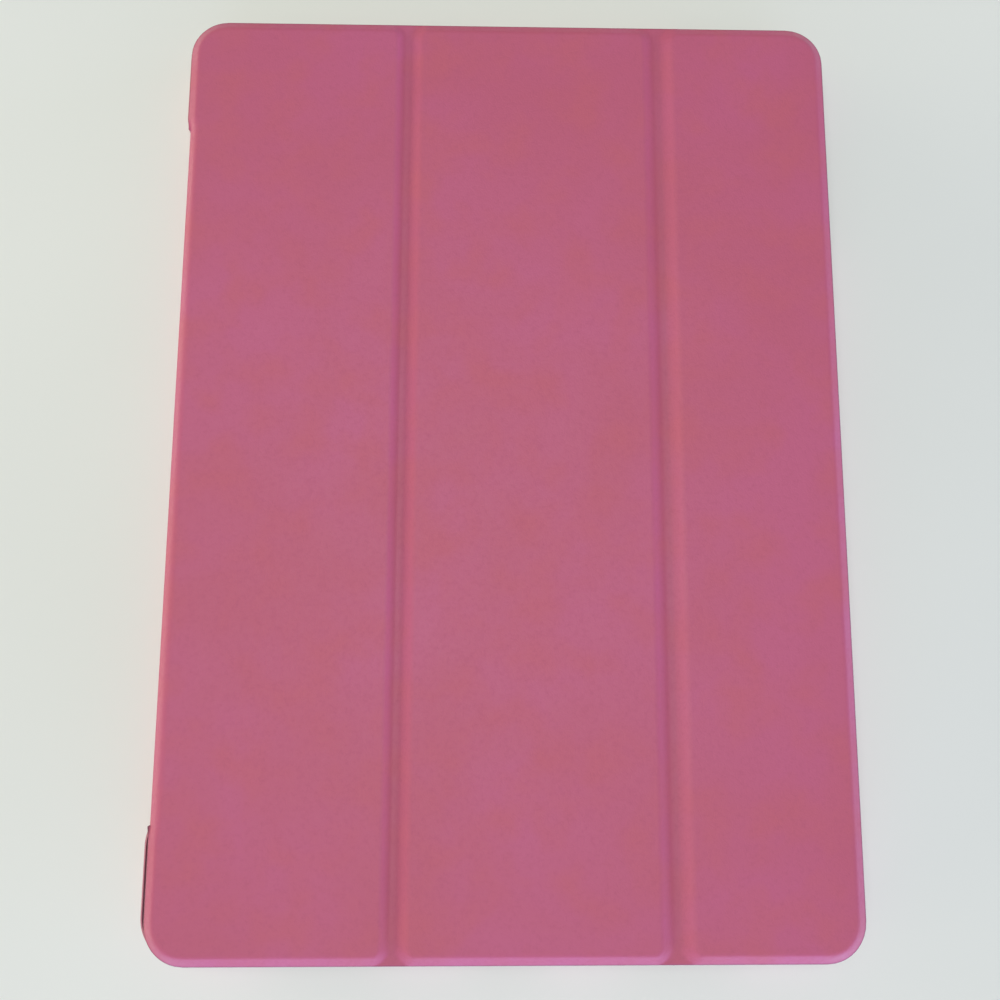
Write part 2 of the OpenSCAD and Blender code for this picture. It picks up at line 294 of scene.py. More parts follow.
def round_corners(a, b):
    """Moves the points of a square grid so that its outer lines follow the cover's round corners."""
    a, b = np.array(a, float), np.array(b, float)
    da, db = half_w - np.abs(a), half_l - np.abs(b)
    near = (da < FLAP_R) & (db < FLAP_R)
    least, most = np.minimum(da, db), np.maximum(da, db)
    radius = FLAP_R - least
    angle = math.pi / 4 * (1 - (most - least) / np.maximum(radius, 1e-9))
    along, across = radius * np.cos(angle), radius * np.sin(angle)
    side_is_x = da < db
    off_a = np.where(side_is_x, along, across)
    off_b = np.where(side_is_x, across, along)
    new_a = np.sign(a) * (half_w - FLAP_R + off_a)
    new_b = np.sign(b) * (half_l - FLAP_R + off_b)
    return np.where(near, new_a, a), np.where(near, new_b, b)


def arc_share(u):
    """Along the bend, how much of the cover's turn the skin has taken."""
    return np.clip((u - spine_u) / BEND_R, 0, 1)


def arc_top(u):
    """Height of the bend's outer face above a place across it."""
    across = np.clip(bend_u - u, 0, BEND_R)
    return bend_z + np.sqrt(np.maximum(BEND_R ** 2 - across ** 2, 0))


def near_mouth(v):
    """1 between the corner grips, fading to 0 a little past their ends."""
    past = np.maximum(v - mouth_high_v, mouth_low_v - v)
    return 1 - smooth(past / MOUTH_FADE)


def cover_point(a, b, height):
    """The place of a grid point of the cover, at a height given by a function of u and v."""
    u, v = round_corners(a, b)
    z = height(u, v)
    left = smooth((bend_u - u) / TURN_FADE + 0.5) * near_mouth(v)
    share = 1 - (1 - arc_share(u)) * left
    x, y = from_cover(u, v, share)
    return np.stack([x, y, z], -1)


def top_with_bend(u, v):
    in_bend = near_mouth(v) * np.where(u < bend_u, 1, 0)
    return cover_top(u, v) * (1 - in_bend) + np.maximum(arc_top(u), skin_z + BEND_FLOOR) * in_bend


def flat_over_mouth(u, v):
    """The skin's top, which runs flat into the bend between the grips."""
    z = top_with_bend(u, v)
    flat = near_mouth(v) * np.where((u >= bend_u) & (u < bend_u + BEND_FLAT), 1, 0)
    return z * (1 - flat) + top_z * flat


# ---------------------------------------------------------------------------
# Mesh building
# ---------------------------------------------------------------------------


def mesh_object(name, points, faces):
    """An object with smooth faces, sharp edges where they turn steeply, and its rest places kept."""
    points = np.array(points, float) * MM
    mesh = bpy.data.meshes.new(name)
    mesh.from_pydata([tuple(p) for p in points], [], faces)
    mesh.validate()
    work = bmesh.new()
    work.from_mesh(mesh)
    bmesh.ops.remove_doubles(work, verts=work.verts, dist=1e-7)
    bmesh.ops.recalc_face_normals(work, faces=work.faces)
    work.to_mesh(mesh)
    work.free()
    mesh.shade_smooth()
    mesh.set_sharp_from_angle(angle=SHARP)
    keep_rest(mesh)
    obj = bpy.data.objects.new(name, mesh)
    bpy.context.scene.collection.objects.link(obj)
    return obj


def keep_rest(mesh):
    """Keeps each point's rest place, so that a texture stays put when the piece bends."""
    rest = np.zeros(len(mesh.vertices) * 3, np.float32)
    mesh.vertices.foreach_get("co", rest)
    attribute = mesh.attributes.get("rest") or mesh.attributes.new("rest", "FLOAT_VECTOR", "POINT")
    attribute.data.foreach_set("vector", rest)


def sheet_solid(name, upper, lower, present=None):
    """A closed thin solid between two grids of points. present says which cells exist."""
    rows, columns = upper.shape[:2]
    if present is None:
        present = np.ones((rows - 1, columns - 1), bool)
    count = rows * columns
    points = np.concatenate([upper.reshape(-1, 3), lower.reshape(-1, 3)])
    faces = []

    def cell(i, j):
        return 0 <= i < rows - 1 and 0 <= j < columns - 1 and present[i, j]

    for i in range(rows - 1):
        for j in range(columns - 1):
            if not present[i, j]:
                continue
            a, b, c, d = (i * columns + j, i * columns + j + 1,
                          (i + 1) * columns + j + 1, (i + 1) * columns + j)
            faces.append((a, b, c, d))
            faces.append((a + count, d + count, c + count, b + count))
            for (m, n), (p, q) in (((i - 1, j), (a, b)), ((i, j + 1), (b, c)),
                                   ((i + 1, j), (c, d)), ((i, j - 1), (d, a))):
                if not cell(m, n):
                    faces.append((p, p + count, q + count, q))
    used = np.unique(np.array([k for f in faces for k in f]))
    place = -np.ones(len(points), int)
    place[used] = np.arange(len(used))
    return mesh_object(name, points[used], [tuple(int(place[k]) for k in f) for f in faces])


def cover_piece(name, low_u, high_u, upper_height, lower_height, mouth_u):
    """A part of the cover between two places across it.
    Between the grips it is open to the spine, up to mouth_u."""
    columns = [u for u in all_columns if low_u - 1e-6 <= u <= high_u + 1e-6]
    a, b = np.meshgrid(columns, all_rows)
    upper, lower = cover_point(a, b, upper_height), cover_point(a, b, lower_height)
    middle_u = (a[:-1, :-1] + a[1:, 1:]) / 2
    middle_v = (b[:-1, :-1] + b[1:, 1:]) / 2
    in_mouth = (middle_u < mouth_u) & (middle_v > mouth_low_v) & (middle_v < mouth_high_v)
    return sheet_solid(name, upper, lower, ~in_mouth)


def skin_under(u, v):
    """The skin's lower face: over the board, or on the lining outside it."""
    return np.maximum(flat_over_mouth(u, v) - SKIN_T, skin_z)


def lining_top(u, v):
    return np.full(np.shape(u), skin_z)


# ---------------------------------------------------------------------------
# The spine: a cross-section drawn from the seam on the cover down to the strip under the shell
# ---------------------------------------------------------------------------
mouth_rows = [v for v in all_rows if mouth_low_v - 1e-6 <= v <= mouth_high_v + 1e-6]


def arc(cx, cz, r, start, end, count):
    """Points of an arc in X and Z, by angle in degrees."""
    return [(cx + r * math.cos(math.radians(start + (end - start) * i / count)),
             cz + r * math.sin(math.radians(start + (end - start) * i / count)))
            for i in range(count + 1)]


def swept(name, outer, inner):
    """A thin solid along the spine between an outer and an inner line of the same length."""

    def rows_of(line):
        line = np.array(line, float)
        u = line[:, 0][None, :] - flap_x + np.zeros((len(mouth_rows), 1))
        v = np.array(mouth_rows)[:, None] + np.zeros((1, len(line)))
        upper_half = line[:, 1][None, :] > bend_z - 1e-6
        share = np.where(upper_half, arc_share(u), 0)
        x, y = from_cover(u, v, share)
        z = np.zeros_like(x) + line[:, 1][None, :]
        return np.stack([x, y, z], -1)

    return sheet_solid(name, rows_of(outer), rows_of(inner))


STIFFENER_SHOW = 0.07   # how far the stiffener stands out through the skin
STIFFENER_EDGE = 0.3    # where, from a bend, its edge shows
STIFFENER_FADE = 0.8    # and over which width
SPLIT = 0.75            # how far down the spine its front and rear halves meet
UPPER_STEPS = 18        # faces round the upper bend
LOWER_STEPS = 12        # and round the lower bend
LINING_START = 122      # angle at which the lining swings into the upper bend
LINING_LOWER_R = 0.03   # the lower bend's innermost radius
seam_x = flap_x + seam_u
lining_x = spine_x0 + SPINE_SKIN_T
strip_t = box_mm("strip_lining")[0].z
strip_lining_z = box_mm("strip_lining")[1].z


def spine_outer(z_list):
    """The skin's outer face, which stands out a little over the stiffener inside the spine."""
    line = []
    for z in z_list:
        inside = min(z - LOWER_R, bend_z - z)
        level = 1 - float(smooth((inside - STIFFENER_EDGE) / STIFFENER_FADE))
        line.append((spine_x0 + STIFFENER_SHOW * level, z))
    return line


def thinning_arc(r, thinner):
    """The lower bend's inner face, from the spine to the strip, where the layer gets thinner."""
    points = arc(spine_x0 + LOWER_R, LOWER_R, r, 180, 270, LOWER_STEPS)
    return [(x, z - thinner * i / LOWER_STEPS) for i, (x, z) in enumerate(points)]


spine_zs = spread(LOWER_R, bend_z, 0.75)[::-1]
split_at = int(len(spine_zs) * SPLIT)
upper_zs, lower_zs = spine_zs[1:split_at + 1], spine_zs[split_at:-1]
strip_xs = spread(spine_x0 + LOWER_R, strip_high.x, 3)[1:]
to_lining = smooth(np.linspace(0, 1, 9))

bend_start_x = bend_x + 0.4

outer_front = [(seam_x, top_z), (bend_start_x, top_z)]
outer_front += arc(bend_x, bend_z, BEND_R, 90, 180, UPPER_STEPS)
outer_front += spine_outer(upper_zs)
inner_front = [(seam_x, top_z - SKIN_T), (bend_start_x, top_z - SKIN_T)]
inner_front += arc(bend_x, bend_z, BEND_R - SPINE_SKIN_T, 90, 180, UPPER_STEPS)
inner_front += [(lining_x, z) for z in upper_zs]

outer_rear = spine_outer(lower_zs)
outer_rear += arc(spine_x0 + LOWER_R, LOWER_R, LOWER_R, 180, 270, LOWER_STEPS)
outer_rear += [(x, 0.0) for x in strip_xs]
inner_rear = [(lining_x, z) for z in lower_zs]
inner_rear += thinning_arc(LOWER_R - SPINE_SKIN_T, SPINE_SKIN_T - strip_t)
inner_rear += [(x, strip_t) for x in strip_xs]


def lining_bend(r, edge_z):
    """The upper bend's lining: it comes off the panel's lining and swings into the bend."""
    bend = arc(bend_x, bend_z, r, LINING_START, 180, 12)
    (start_x, start_z), last = bend[0], len(to_lining) - 1
    line = [(bend_x + (start_x - bend_x) * i / last, edge_z + (start_z - edge_z) * share)
            for i, share in enumerate(to_lining)]
    return line + bend[1:]


lining_outer_front = lining_bend(BEND_R - SPINE_SKIN_T, skin_z) + [(lining_x, z) for z in upper_zs]
lining_inner_front = lining_bend(BEND_R - SPINE_SKIN_T - LINING_T, base_z)
lining_inner_front += [(lining_x + LINING_T, z) for z in upper_zs]
lining_outer_rear = inner_rear
lining_inner_rear = [(lining_x + LINING_T, z) for z in lower_zs]
lining_inner_rear += thinning_arc(LINING_LOWER_R, LOWER_R - LINING_LOWER_R - strip_lining_z)
lining_inner_rear += [(x, strip_lining_z) for x in strip_xs]


# ---------------------------------------------------------------------------
# Materials
# ---------------------------------------------------------------------------


def srgb(r, g, b):
    """A colour given as it is seen, 0 to 255, as the shader wants it."""
    def linear(c):
        c /= 255
        return c / 12.92 if c <= 0.04045 else ((c + 0.055) / 1.055) ** 2.4
    return (linear(r), linear(g), linear(b), 1.0)


class Nodes:
    """A short way to write a material's nodes."""

    def __init__(self, name):
        self.material = bpy.data.materials.new(name)
        self.material.use_nodes = True
        self.tree = self.material.node_tree
        self.tree.nodes.clear()
        self.shader = self.add("ShaderNodeBsdfPrincipled")
        out = self.add("ShaderNodeOutputMaterial")
        self.link(self.shader.outputs["BSDF"], out.inputs["Surface"])

    def add(self, kind, **settings):
        node = self.tree.nodes.new(kind)
        for key, value in settings.items():
            setattr(node, key, value)
        return node

    def link(self, source, target):
        self.tree.links.new(source, target)

    def set(self, node, **values):
        for key, value in values.items():
            node.inputs[key.replace("_", " ")].default_value = value
        return node

    def rest(self):
        """Rest places of a piece's points, in metres."""
        return self.add("ShaderNodeAttribute", attribute_name="rest").outputs["Vector"]

    def own(self):
        """A CAD part's own places, in metres."""
        return self.add("ShaderNodeTexCoord").outputs["Object"]

    def noise(self, place, scale, detail=2.0, rough=0.5, distort=0.0):
        node = self.add("ShaderNodeTexNoise")
        self.link(place, node.inputs["Vector"])
        self.set(node, Scale=scale, Detail=detail, Roughness=rough, Distortion=distort)
        return node.outputs["Fac"]

    def cells(self, place, scale, feature="SMOOTH_F1", random=1.0):
        node = self.add("ShaderNodeTexVoronoi", feature=feature)
        self.link(place, node.inputs["Vector"])
        self.set(node, Scale=scale, Randomness=random)
        return node.outputs["Distance"]

    def stretch(self, place, x, y, z):
        node = self.add("ShaderNodeVectorMath", operation="MULTIPLY")
        self.link(place, node.inputs[0])
        node.inputs[1].default_value = (x, y, z)
        return node.outputs["Vector"]

    def between(self, fac, low, high, out_low=0.0, out_high=1.0):
        node = self.add("ShaderNodeMapRange")
        self.link(fac, node.inputs["Value"])
        self.set(node, From_Min=low, From_Max=high, To_Min=out_low, To_Max=out_high)
        return node.outputs["Result"]

    def math(self, operation, a, b):
        node = self.add("ShaderNodeMath", operation=operation)
        for socket, value in zip(node.inputs, (a, b)):
            if isinstance(value, (int, float)):
                socket.default_value = value
            else:
                self.link(value, socket)
        return node.outputs["Value"]

    def mix(self, fac, a, b, blend="MIX"):
        node = self.add("ShaderNodeMix", data_type="RGBA", blend_type=blend)
        if isinstance(fac, (int, float)):
            node.inputs["Factor"].default_value = fac
        else:
            self.link(fac, node.inputs["Factor"])
        for socket, value in ((node.inputs[6], a), (node.inputs[7], b)):
            if isinstance(value, tuple):
                socket.default_value = value
            else:
                self.link(value, socket)
        return node.outputs[2]

    def bump(self, *layers):
        """Bump from several heights, given as (height, distance in metres, strength)."""
        normal = None
        for height, distance, strength in layers:
            node = self.add("ShaderNodeBump")
            self.link(height, node.inputs["Height"])
            self.set(node, Distance=distance, Strength=strength)
            if normal is not None:
                self.link(normal, node.inputs["Normal"])
            normal = node.outputs["Normal"]
        self.link(normal, self.shader.inputs["Normal"])


def leatherette():
    """Pressed leatherette: fine pebbled grain, soft shine, slow drift of colour, paler worn edges, and painted
    shade darkening the cut edge.
    """
    m = Nodes("leatherette")
    place = m.rest()
    drift = m.noise(place, 22, 3, 0.55, 0.6)
    patches = m.noise(place, 75, 2, 0.5)
    specks = m.noise(place, 900, 2, 0.6)
    colour = m.mix(m.between(drift, 0.35, 0.65), srgb(185, 90, 115), srgb(187, 92, 125))
    colour = m.mix(m.between(patches, 0.45, 0.7, 0, 0.6), colour, srgb(189, 94, 109))
    colour = m.mix(m.between(specks, 0.5, 0.8, 0, 0.25), colour, srgb(166, 80, 106))
    worn = m.add("ShaderNodeAttribute", attribute_name="worn").outputs["Fac"]
    patchy = m.noise(place, 420, 3, 0.6)
    worn = m.math("MULTIPLY", worn, m.between(patchy, 0.3, 0.7, 0.45, 1.0))
    colour = m.mix(m.math("MULTIPLY", worn, 0.5), colour, srgb(192, 134, 150))
    # painted shade: the skin is darkened towards (108, 50, 70) along its cut edge, standing in for the shade that
    # edge lies in
    rim = m.add("ShaderNodeAttribute", attribute_name="painted_edge_shade").outputs["Fac"]
    colour = m.mix(m.math("MULTIPLY", rim, 0.85), colour, srgb(108, 50, 70))
    m.link(colour, m.shader.inputs["Base Color"])
    pebbles = m.cells(place, 1900)
    creases = m.cells(place, 780, "DISTANCE_TO_EDGE")
    fine = m.noise(place, 5200, 3, 0.6)
    grain = m.math("ADD", m.between(pebbles, 0, 0.6), m.math("MULTIPLY", fine, 0.35))
    m.bump((m.between(creases, 0, 0.12), 0.00003, 0.35), (grain, 0.00002, 0.5))
    rough = m.between(m.math("ADD", patches, specks), 0.7, 1.3, 0.46, 0.58)
    m.link(rough, m.shader.inputs["Roughness"])
    m.set(m.shader, Specular_IOR_Level=0.42)
    return m.material


def microfibre():
    """Brushed microfibre: short nap with a soft sheen and faint brushed streaks."""
    m = Nodes("microfibre")
    place = m.rest()
    streaks = m.noise(m.stretch(place, 1, 0.18, 1), 900, 3, 0.6)
    clouds = m.noise(place, 60, 3, 0.55)
    nap = m.noise(place, 4200, 4, 0.7)
    colour = m.mix(m.between(clouds, 0.35, 0.65), srgb(160, 92, 108), srgb(172, 102, 118))
    colour = m.mix(m.between(streaks, 0.4, 0.7, 0, 0.5), colour, srgb(146, 80, 97))
    colour = m.mix(m.between(nap, 0.45, 0.75, 0, 0.5), colour, srgb(190, 128, 141))
    m.link(colour, m.shader.inputs["Base Color"])
    m.bump((nap, 0.00012, 0.6), (streaks, 0.00006, 0.4))
    m.link(m.between(nap, 0.3, 0.7, 0.86, 0.98), m.shader.inputs["Roughness"])
    m.set(m.shader, Specular_IOR_Level=0.2, Sheen_Weight=0.35, Sheen_Roughness=0.45)
    return m.material


def moulded_plastic():
    """Matte moulded plastic: very fine spark texture and faint flow marks."""
    m = Nodes("moulded_plastic")
    place = m.rest()
    flow = m.noise(m.stretch(place, 1, 0.3, 1), 26, 3, 0.5, 0.8)
    spark = m.noise(place, 3600, 3, 0.65)
    dust = m.noise(place, 1300, 2, 0.5)
    colour = m.mix(m.between(flow, 0.3, 0.7), srgb(190, 122, 134), srgb(196, 129, 140))
    colour = m.mix(m.between(dust, 0.62, 0.8, 0, 0.3), colour, srgb(176, 107, 121))
    m.link(colour, m.shader.inputs["Base Color"])
    m.bump((spark, 0.00004, 0.45))
    m.link(m.between(spark, 0.3, 0.7, 0.42, 0.56), m.shader.inputs["Roughness"])
    m.set(m.shader, Specular_IOR_Level=0.5)
    return m.material


def fibre_board():
    """Grey-brown pressed fibre board with long fibres."""
    m = Nodes("fibre_board")
    place = m.own()
    fibres = m.noise(m.stretch(place, 1, 0.12, 1), 1500, 4, 0.7)
    flecks = m.noise(place, 600, 2, 0.5)
    colour = m.mix(m.between(fibres, 0.35, 0.7), srgb(150, 138, 120), srgb(176, 164, 143))
    colour = m.mix(m.between(flecks, 0.6, 0.75, 0, 0.6), colour, srgb(112, 98, 82))
    m.link(colour, m.shader.inputs["Base Color"])
    m.bump((fibres, 0.00005, 0.5))
    m.link(m.between(flecks, 0.3, 0.7, 0.8, 0.92), m.shader.inputs["Roughness"])
    return m.material


def adhesive_film():
    """Milky double-sided tape with trapped bubbles."""
    m = Nodes("adhesive_film")
    place = m.own()
    bubbles = m.cells(place, 700)
    haze = m.noise(place, 120, 3, 0.5)
    colour = m.mix(m.between(haze, 0.3, 0.7), srgb(224, 222, 211), srgb(236, 234, 226))
    colour = m.mix(m.between(bubbles, 0, 0.2, 0.5, 0), colour, srgb(206, 203, 190))
    m.link(colour, m.shader.inputs["Base Color"])
    m.bump((bubbles, 0.00002, 0.4))
    m.link(m.between(haze, 0.3, 0.7, 0.25, 0.4), m.shader.inputs["Roughness"])
    return m.material


def rolled_steel():
    """Thin cold-rolled steel strip with lengthwise rolling lines."""
    m = Nodes("rolled_steel")
    place = m.own()
    lines = m.noise(m.stretch(place, 1, 0.02, 1), 3500, 3, 0.6)
    stains = m.noise(place, 130, 3, 0.5)
    colour = m.mix(m.between(lines, 0.3, 0.7), srgb(186, 187, 190), srgb(205, 206, 208))
    colour = m.mix(m.between(stains, 0.55, 0.75, 0, 0.4), colour, srgb(158, 156, 152))
    m.link(colour, m.shader.inputs["Base Color"])
    m.bump((lines, 0.00001, 0.4))
    m.link(m.between(lines, 0.3, 0.7, 0.28, 0.42), m.shader.inputs["Roughness"])
    m.set(m.shader, Metallic=1.0)
    return m.material


def nickel_plate():
    """Nickel-plated magnet with faint handling marks."""
    m = Nodes("nickel_plate")
    place = m.own()
    marks = m.noise(m.stretch(place, 1, 0.3, 1), 800, 4, 0.7)
    colour = m.mix(m.between(marks, 0.3, 0.7), srgb(214, 213, 208), srgb(226, 225, 221))
    m.link(colour, m.shader.inputs["Base Color"])
    m.link(m.between(marks, 0.35, 0.75, 0.14, 0.3), m.shader.inputs["Roughness"])
    m.set(m.shader, Metallic=1.0)
    return m.material


def paper_floor():
    """Plain pale floor."""
    m = Nodes("paper_floor")
    place = m.own()
    haze = m.noise(place, 6, 2, 0.5)
    colour = m.mix(m.between(haze, 0.3, 0.7), srgb(227, 234, 225), srgb(231, 238, 229))
    m.link(colour, m.shader.inputs["Base Color"])
    m.set(m.shader, Roughness=0.75, Specular_IOR_Level=0.25)
    return m.material


LEATHERETTE = leatherette()
MICROFIBRE = microfibre()
PLASTIC = moulded_plastic()


def keep(obj, name, amount):
    """Keeps a value between 0 and 1 at each point of a piece, for its material."""
    attribute = obj.data.attributes.new(name, "FLOAT", "POINT")
    attribute.data.foreach_set("value", np.array(amount, np.float32))


def places_mm(obj):
    co = np.zeros(len(obj.data.vertices) * 3, np.float32)
    obj.data.vertices.foreach_get("co", co)
    return co.reshape(-1, 3).astype(float) / MM


WEAR_AT, WEAR_W = 1.2, 0.9          # how far in from the outline the wear lies, and its width
WEAR_REACH, WEAR_FADE = 16, 12      # where it starts beside a corner, and over which distance
EDGE_SHADE_REACH = 1.3                # how far the painted shade along the cut edge reaches, in round-overs


def edge_wear_and_shade(obj):
    """The skin's slope is worn paler at the corners, and its cut edge gets painted shade: darker, standing in for
    the shade it lies in.
    """
    p = places_mm(obj)
    u, v = to_cover(p[:, 0], p[:, 1])
    d = np.maximum(inset(np.array(u), np.array(v)), 0)
    corner = smooth((np.abs(u) - half_w + WEAR_REACH) / WEAR_FADE)
    corner = corner * smooth((np.abs(v) - half_l + WEAR_REACH) / WEAR_FADE)
    keep(obj, "worn", np.exp(-((d - WEAR_AT) / WEAR_W) ** 2) * corner)
    # painted shade: 1 right at the cut edge, fading out within the reach; the material darkens the skin there
    keep(obj, "painted_edge_shade", np.clip(EDGE_SHADE_REACH - d / EDGE_ROUND, 0, 1))


def finish_piece(obj, material, replaces):
    obj.data.materials.append(material)
    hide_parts(*replaces)


# ---------------------------------------------------------------------------
# The moulded back shell
# ---------------------------------------------------------------------------
SHELL_R = 10.5          # corner radius
WALL_T = 1.1
BACK_T = 1.8
EDGE_R = 3.0            # round edge between back and walls
LIP_W = 0.8             # reach of the lip that holds the tablet
LIP_T = 0.9
THIN_W = 0.7            # how much thinner the grips' rims are beside the spine
THIN_H = 3.0            # and how far down
RIM_ROUND = 0.4         # round-over of the walls' rims, outside
INNER_ROUND = 0.25      # and inside
NOTCH_Z = 4.0           # floor of the port openings
PORT_R = 2.0
CAMERA_R = 6.0
CAMERA_FLARE = 0.3      # broken edge of the camera hole
HOLE_SIDES = 72
CORNER_STEPS = 20       # faces round a corner
GRIP_END_R = 5.0
SPINE_PLAY = 0.3        # free play between the spine and the shell
RECESS_H = 1.0          # depth of the recess for the strip and its tape
RECESS_PLAY = 0.1
PAST = 3                # how far a cutter reaches past the shell's side
MOUTH_L = 2 * (mouth + SPINE_PLAY)
PORT_W = {"jack_opening": 14, "power_key_opening": 24, "volume_key_opening": 36,
          "plug_opening": 18, "speaker_opening_left": 30, "speaker_opening_right": 30}
openings = {o["name"]: o["box_m"] for o in frame["record"]["physics"]["openings"]}


def opening_mm(name, axis):
    low, high = openings[name]
    return (low[axis] + high[axis]) / 2 / MM


def port_marks(place, width):
    """Where a port's rim turns, along its wall."""
    half = width / 2
    marks = [half + e for e in (RIM_ROUND, 0.25, 0.12, 0.04, 0.0)] + [half - 0.04]
    marks += [half - PORT_R + PORT_R * math.cos(math.radians(a)) for a in range(20, 91, 14)]
    return [place + side * m for side in (-1, 1) for m in marks]


def rim_at(place, ports):
    """Height of the wall's rim at a place along a wall, and 1 where the wall is whole, 0 in a port."""
    full = shell_high.z
    for centre, width in ports:
        past = abs(place - centre) - width / 2
        if past > RIM_ROUND:
            continue
        if past > -1e-6:
            drop = RIM_ROUND - math.sqrt(max(RIM_ROUND ** 2 - (RIM_ROUND - max(past, 0)) ** 2, 0))
            return full - drop, past / RIM_ROUND
        if past > -PORT_R:
            return NOTCH_Z + PORT_R - math.sqrt(max(PORT_R ** 2 - (past + PORT_R) ** 2, 0)), 0
        return NOTCH_Z, 0
    return full, 1


def wall_profile(rim, whole, thin):
    """The wall's cross-section as (distance inside the outline, height), from the back to the
    pocket's floor. thin is 1 beside the spine, where the rim is thin, and 0 where it has a lip."""
    inner = WALL_T + (LIP_W - (LIP_W + THIN_W) * thin) * whole
    if abs(inner - WALL_T) < 0.01:
        inner = WALL_T + 0.01
    reach = LIP_T if inner > WALL_T else THIN_H
    under = max(rim - reach, BACK_T + EDGE_R - WALL_T + 0.06)
    rounded = min(RIM_ROUND, inner * 0.42)
    line = [(EDGE_R - EDGE_R * math.sin(math.radians(a)), EDGE_R - EDGE_R * math.cos(math.radians(a)))
            for a in range(0, 91, 9)]
    line += [(0, EDGE_R + (rim - rounded - EDGE_R) * share) for share in (0.3, 0.65, 1)]
    line += [(rounded - rounded * math.cos(math.radians(a)),
              rim - rounded + rounded * math.sin(math.radians(a))) for a in (18, 36, 54, 72, 90)]
    inner_round = min(INNER_ROUND, inner * 0.4, (rim - under) * 0.45)
    line += [(inner - inner_round + inner_round * math.sin(math.radians(a)),
              rim - inner_round + inner_round * math.cos(math.radians(a))) for a in (0, 30, 60, 90)]
    line += [(inner, under + 0.02), (inner + (WALL_T - inner) * 0.02, under), (WALL_T, under - 0.01)]
    floor_r = EDGE_R - WALL_T
    line += [(EDGE_R - floor_r * math.cos(math.radians(a)),
              BACK_T + floor_r - floor_r * math.sin(math.radians(a))) for a in range(0, 91, 15)]
    return line


def wall_stations():
    """Places round the shell: outline point, inward direction, rim height, and how whole and how
    thin the wall is there."""
    x0, x1, y0, y1 = shell_low.x, shell_high.x, shell_low.y, shell_high.y
    top = [(opening_mm(n, 0), PORT_W[n]) for n in ("jack_opening", "power_key_opening")]
    bottom = [(opening_mm(n, 0), PORT_W[n]) for n in PORT_W if n.startswith(("plug", "speaker"))]
    right = [(opening_mm("volume_key_opening", 1), PORT_W["volume_key_opening"])]
    stations = []

    def side(start, end, ports, place, inward, thin):
        marks = merge(spread(min(start, end), max(start, end), 6), *[port_marks(c, w) for c, w in ports])
        if end < start:
            marks.reverse()
        for m in marks:
            rim, whole = rim_at(m, ports)
            stations.append((place(m), inward, rim, whole, thin))

    def corner(cx, cy, start):
        for i in range(1, CORNER_STEPS):
            a = math.radians(start + 90 * i / CORNER_STEPS)
            outward = (math.cos(a), math.sin(a))
            stations.append(((cx + SHELL_R * outward[0], cy + SHELL_R * outward[1]),
                             (-outward[0], -outward[1]), shell_high.z, 1, max(-outward[0], 0)))

    side(x0 + SHELL_R, x1 - SHELL_R, bottom, lambda m: (m, y0), (0, 1), 0)
    corner(x1 - SHELL_R, y0 + SHELL_R, 270)
    side(y0 + SHELL_R, y1 - SHELL_R, right, lambda m: (x1, m), (-1, 0), 0)
    corner(x1 - SHELL_R, y1 - SHELL_R, 0)
    side(x1 - SHELL_R, x0 + SHELL_R, top, lambda m: (m, y1), (0, -1), 0)
    corner(x0 + SHELL_R, y1 - SHELL_R, 90)
    side(y1 - SHELL_R, y0 + SHELL_R, [], lambda m: (x0, m), (1, 0), 1)
    corner(x0 + SHELL_R, y0 + SHELL_R, 180)
    return stations


def prism(name, outline, low, high, axis):
    """A cutter: an outline drawn across one axis, reaching from low to high along it."""
    points, count = [], len(outline)
    for along in (low, high):
        for p, q in outline:
            points.append((along, p, q) if axis == "x" else (p, q, along))
    faces = [tuple(range(count))[::-1], tuple(range(count, 2 * count))]
    faces += [(i, (i + 1) % count, count + (i + 1) % count, count + i) for i in range(count)]
    return mesh_object(name, points, faces)


def flared_hole(name, x, y, r, flare):
    """A cutter for a round hole through the back with broken edges."""
    wide, count = r + flare, HOLE_SIDES
    levels = [(-1, wide), (0, wide), (flare, r), (BACK_T - flare, r), (BACK_T, wide), (3, wide)]
    points = [(x + q * math.cos(2 * math.pi * i / count), y + q * math.sin(2 * math.pi * i / count), z)
              for z, q in levels for i in range(count)]
    faces = [tuple(range(count))[::-1], tuple(range(len(points) - count, len(points)))]
    for k in range(len(levels) - 1):
        faces += [(k * count + i, k * count + (i + 1) % count,
                   (k + 1) * count + (i + 1) % count, (k + 1) * count + i) for i in range(count)]
    return mesh_object(name, points, faces)


def cut(obj, cutters):
    """Cuts away the cutters and removes them."""
    for cutter in cutters:
        modifier = obj.modifiers.new("cut", "BOOLEAN")
        modifier.operation, modifier.solver, modifier.object = "DIFFERENCE", "EXACT", cutter
    bpy.context.view_layer.update()
    mesh = bpy.data.meshes.new_from_object(obj.evaluated_get(bpy.context.evaluated_depsgraph_get()))
    obj.modifiers.clear()
    obj.data = mesh
    for cutter in cutters:
        bpy.data.objects.remove(cutter)
    work = bmesh.new()
    work.from_mesh(mesh)
    bmesh.ops.remove_doubles(work, verts=work.verts, dist=1e-6)
    bmesh.ops.dissolve_degenerate(work, edges=work.edges, dist=1e-7)
    work.to_mesh(mesh)
    work.free()
    mesh.shade_smooth()
    mesh.set_sharp_from_angle(angle=CUT_SHARP)
    keep_rest(mesh)


def mouth_outline():
    """Across X: the opening for the spine, with the grips' ends rounded over at their tops."""
    half, top = MOUTH_L / 2, shell_high.z
    edge = [(half, -2.0)]
    edge += [(half + GRIP_END_R - GRIP_END_R * math.cos(math.radians(a)),
              top - GRIP_END_R + GRIP_END_R * math.sin(math.radians(a))) for a in range(0, 91, 6)]
    edge += [(half + GRIP_END_R, top + 2)]
    return edge + [(-y, z) for y, z in reversed(edge)]


